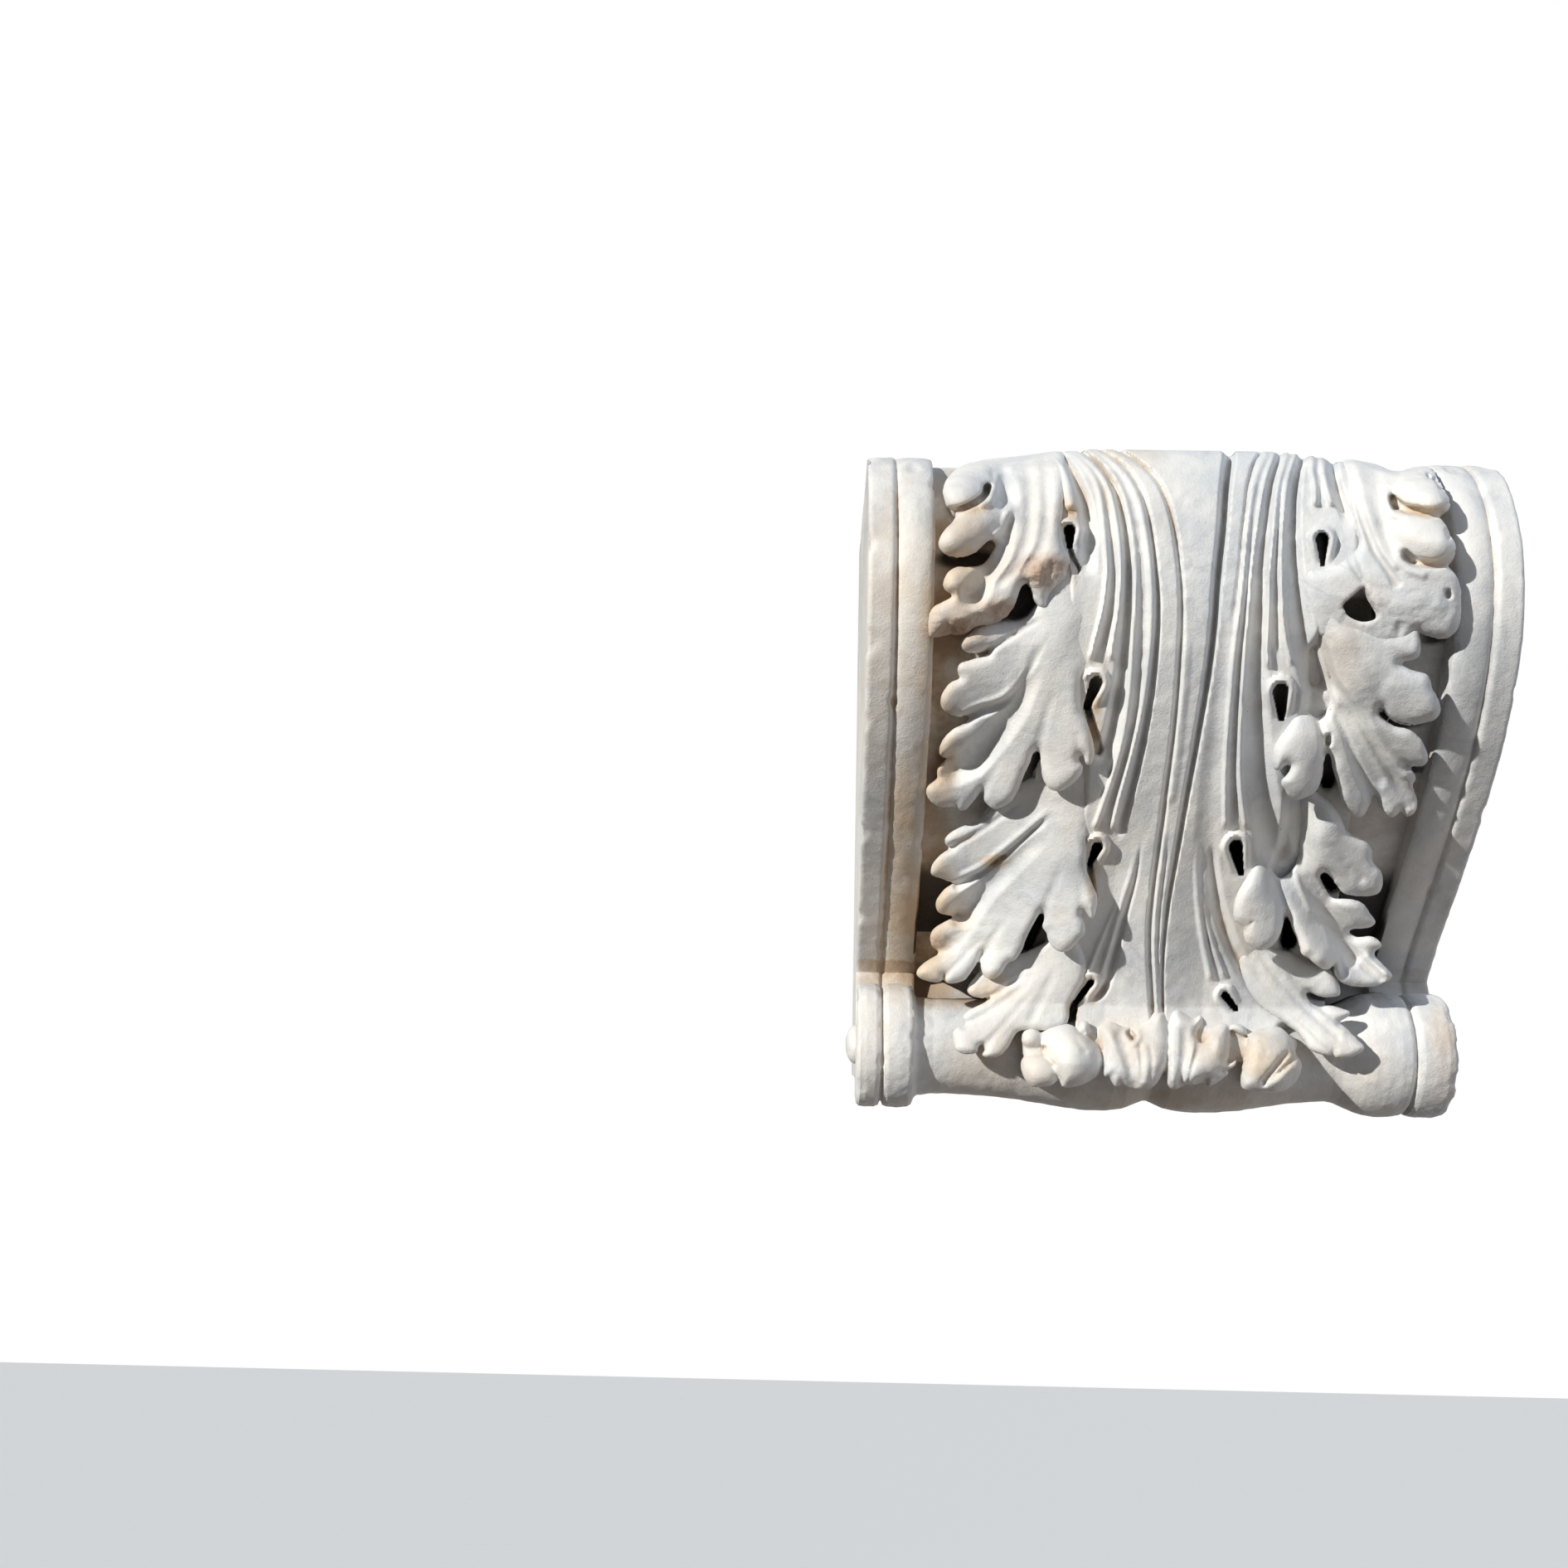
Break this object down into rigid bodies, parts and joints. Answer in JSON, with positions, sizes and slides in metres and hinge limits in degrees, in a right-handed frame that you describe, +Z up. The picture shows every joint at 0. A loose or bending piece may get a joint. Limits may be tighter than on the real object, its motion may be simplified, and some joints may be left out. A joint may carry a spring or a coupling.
{
  "type": "corbel",
  "caption": "Carved marble scroll corbel with side bands, a tiered acanthus leaf on its front and a turned scroll roll at its foot.",
  "frame": {"origin": "centre of the flat back face that is built into the wall", "axes": "+Y points out of the back face into the wall, the leaf faces -Y, +Z is up and +X is to the right of someone facing the leaf"},
  "size_m": [0.362, 0.2768, 0.3687],
  "materials": {
    "marble": "weathered white marble, hand carved, with warm staining in the hollows and on the breaks"
  },
  "bodies": {
    "root": {"corbel": "marble"}
  },
  "joints": []
}
